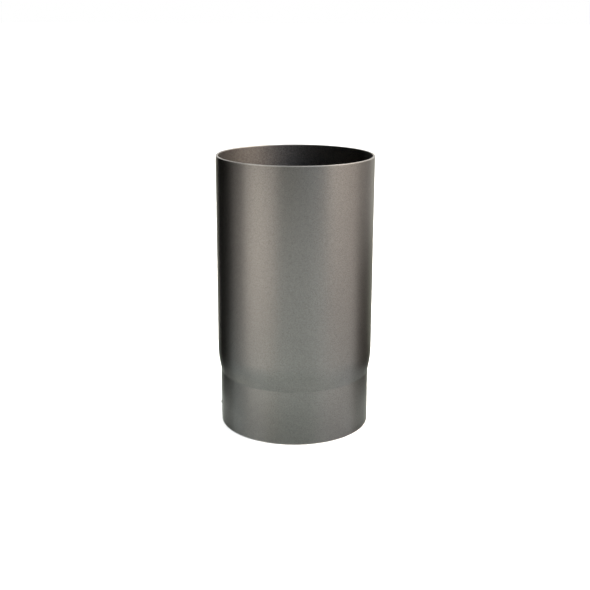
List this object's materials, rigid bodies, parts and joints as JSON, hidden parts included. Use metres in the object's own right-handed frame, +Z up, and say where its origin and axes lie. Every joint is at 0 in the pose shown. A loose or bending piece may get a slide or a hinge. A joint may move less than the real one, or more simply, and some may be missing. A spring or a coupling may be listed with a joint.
{
  "type": "stove pipe",
  "caption": "Straight round steel pipe for a stove flue, open at both ends, with one end stepped in to a spigot that slides into the next pipe.",
  "frame": {"origin": "centre of the spigot's foot, on the pipe's axis, in the plane that the pipe stands on", "axes": "+Z up along the pipe's axis, from the spigot to the socket; -Y is the side that the picture shows, and the weld seam is at -X"},
  "size_m": [0.1541, 0.154, 0.27],
  "materials": {
    "stove_paint": "satin heat-proof metallic grey paint with fine flakes, inside and outside"
  },
  "bodies": {
    "root": {"stove_pipe": "stove_paint"}
  },
  "joints": []
}
